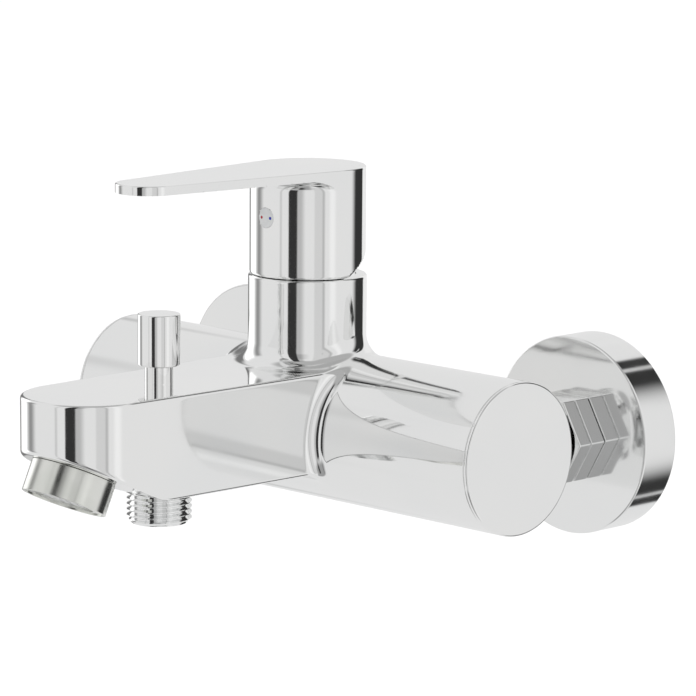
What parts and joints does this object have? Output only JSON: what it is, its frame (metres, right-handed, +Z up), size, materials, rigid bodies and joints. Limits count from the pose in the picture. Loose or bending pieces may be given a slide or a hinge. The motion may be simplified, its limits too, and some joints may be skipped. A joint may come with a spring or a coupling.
{
  "type": "wall mounted bath faucet",
  "caption": "Exposed single-lever bath mixer: horizontal body between two wall rosettes, long spout with aerator, pull-up diverter knob and threaded shower outlet.",
  "frame": {"origin": "on the wall plane, midway between the two inlet studs, at the height of their axes", "axes": "+X to the right along the body as seen from the room, +Y into the wall (the spout points to -Y), +Z up"},
  "size_m": [0.2152, 0.203, 0.1186],
  "materials": {
    "chrome": "polished chrome plate on brass",
    "aerator_chrome": "polished chrome plate, slightly darker",
    "brass": "turned brass",
    "steel": "stainless steel",
    "rubber": "black nitrile rubber",
    "fibre": "fibre sealing washer",
    "cartridge_plastic": "moulded ivory plastic",
    "ceramic": "lapped white ceramic",
    "insert_plastic": "moulded pale grey plastic",
    "cap_plastic": "glossy pale plastic",
    "red_mark": "red enamel",
    "blue_mark": "blue enamel"
  },
  "bodies": {
    "faucet": {"body_casting": "chrome", "end_cap_left": "chrome", "end_cap_right": "chrome", "end_cap_seals": "rubber", "inlet_tail_left": "brass", "inlet_tail_right": "brass", "union_nut_left": "chrome", "union_nut_right": "chrome", "union_washers": "fibre", "inlet_strainers": "steel", "inlet_check_valves": "cartridge_plastic", "wall_union_left": "chrome", "wall_union_right": "chrome", "rosette_left": "chrome", "rosette_right": "chrome", "cartridge_gasket": "rubber", "cartridge_base": "cartridge_plastic", "fixed_ceramic_disc": "ceramic", "cartridge_housing": "cartridge_plastic", "cartridge_nut": "brass", "trim_dome": "chrome", "aerator_housing": "aerator_chrome", "aerator_insert": "insert_plastic", "aerator_screen": "steel", "aerator_gasket": "rubber", "diverter_guide": "brass", "guide_seal": "rubber", "diverter_spring": "steel", "shower_outlet": "chrome", "outlet_seal": "rubber", "outlet_check_valve": "cartridge_plastic"},
    "turret": {"cartridge_turret": "cartridge_plastic", "pivot_pin": "steel"},
    "handle": {"cartridge_stem": "steel", "handle_lever": "chrome", "handle_screw": "steel", "indicator_cap": "cap_plastic", "hot_dot": "red_mark", "cold_dot": "blue_mark"},
    "disc": {"moving_ceramic_disc": "ceramic", "disc_carrier": "cartridge_plastic"},
    "diverter": {"diverter_knob": "chrome", "knob_screw": "steel", "diverter_rod": "steel", "diverter_valve": "brass", "valve_seals": "rubber", "valve_nut": "steel"}
  },
  "joints": [
    {"name": "handle_turn", "type": "hinge", "parent": "faucet", "child": "turret", "pos_m": [0, -0.062, 0.052], "axis": [0, 0, 1], "range_deg": [-50, 50]},
    {"name": "handle_lift", "type": "hinge", "parent": "turret", "child": "handle", "pos_m": [0, -0.062, 0.052], "axis": [-1, 0, 0], "range_deg": [0, 25]},
    {"name": "disc_slide", "type": "slide", "parent": "turret", "child": "disc", "axis": [0, -1, 0], "range_m": [0, 0.0058]},
    {"name": "diverter_pull", "type": "slide", "parent": "faucet", "child": "diverter", "axis": [0, 0, 1], "range_m": [0, 0.0078], "stiffness_N_per_m": 60, "springref_m": -0.01, "deforming": ["diverter_spring"]}
  ],
  "couplings": [
    {"joint": "disc_slide", "follows": "handle_lift", "m_per_rad": 0.01307}
  ]
}
